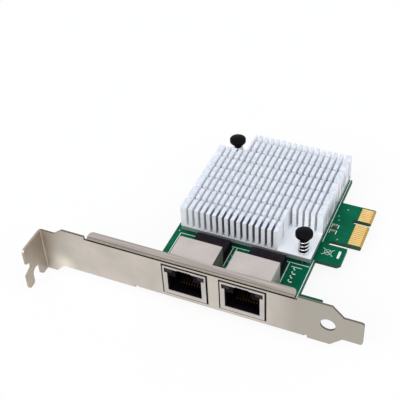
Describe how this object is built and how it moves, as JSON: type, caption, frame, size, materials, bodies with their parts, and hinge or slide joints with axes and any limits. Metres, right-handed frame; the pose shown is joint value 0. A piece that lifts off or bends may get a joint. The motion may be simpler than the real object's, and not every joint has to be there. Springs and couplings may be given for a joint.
{
  "type": "network interface card",
  "caption": "Dual-port network card: green board with card-edge tongue, steel full-height bracket, shielded modular jacks and a pin-fin heat sink on sprung push pins.",
  "frame": {"origin": "middle of the key notch, at the tips of the card-edge connector and in the board's middle plane", "axes": "+X points into the slot, along the bracket away from its tab; +Y from the bracket to the card's rear edge; +Z away from the component side of the board"},
  "size_m": [0.12, 0.0922, 0.0218],
  "materials": {
    "board_green": "glossy green solder mask over glass-fibre laminate",
    "gold": "gold-plated copper",
    "bracket_steel": "satin nickel-plated steel",
    "screw_steel": "bright zinc-plated steel",
    "shield_steel": "satin tinned sheet",
    "housing_black": "black moulded plastic",
    "lamp_clear": "smoky lamp body, unlit",
    "tinned": "tinned copper leads",
    "package_black": "black epoxy package",
    "sink_aluminium": "bright clear-finished aluminium",
    "pad_grey": "soft grey pad",
    "pin_black": "black nylon",
    "spring_steel": "bright spring wire",
    "capacitor_tan": "tan ceramic body",
    "resistor_black": "dark film on white ceramic",
    "tantalum": "moulded yellow body",
    "ferrite": "grey ferrite",
    "can_metal": "metal can"
  },
  "bodies": {
    "card": {"pcb": "board_green", "edge_contacts_top": "gold", "edge_contacts_bottom": "gold", "bracket": "bracket_steel", "bracket_screw_left": "screw_steel", "bracket_screw_right": "screw_steel", "heat_sink": "sink_aluminium", "controller_chip": "package_black", "thermal_pad": "pad_grey", "pin_spring_front": "spring_steel", "pin_spring_rear": "spring_steel", "coupling_capacitors": "capacitor_tan", "decoupling_capacitors": "capacitor_tan", "chip_resistors": "resistor_black", "flash_memory": "package_black", "flash_leads": "tinned", "voltage_regulator": "package_black", "regulator_leads": "tinned", "power_inductor": "ferrite", "crystal": "can_metal", "bulk_capacitors": "tantalum", "jack_shield_1": "shield_steel", "jack_housing_1": "housing_black", "jack_contacts_1": "gold", "jack_led_left_1": "lamp_clear", "jack_led_right_1": "lamp_clear", "jack_led_leads_1": "tinned", "magnetics_1": "package_black", "magnetics_leads_1": "tinned", "jack_shield_2": "shield_steel", "jack_housing_2": "housing_black", "jack_contacts_2": "gold", "jack_led_left_2": "lamp_clear", "jack_led_right_2": "lamp_clear", "jack_led_leads_2": "tinned", "magnetics_2": "package_black", "magnetics_leads_2": "tinned"},
    "front_pin": {"push_pin_front": "pin_black"},
    "rear_pin": {"push_pin_rear": "pin_black"}
  },
  "joints": [
    {"name": "pin_press_front", "type": "slide", "parent": "card", "child": "front_pin", "axis": [0, 0, 1], "range_m": [-0.0015, 0], "stiffness_N_per_m": 2500, "deforming": ["pin_spring_front"]},
    {"name": "pin_press_rear", "type": "slide", "parent": "card", "child": "rear_pin", "axis": [0, 0, 1], "range_m": [-0.0015, 0], "stiffness_N_per_m": 2500, "deforming": ["pin_spring_rear"]}
  ]
}
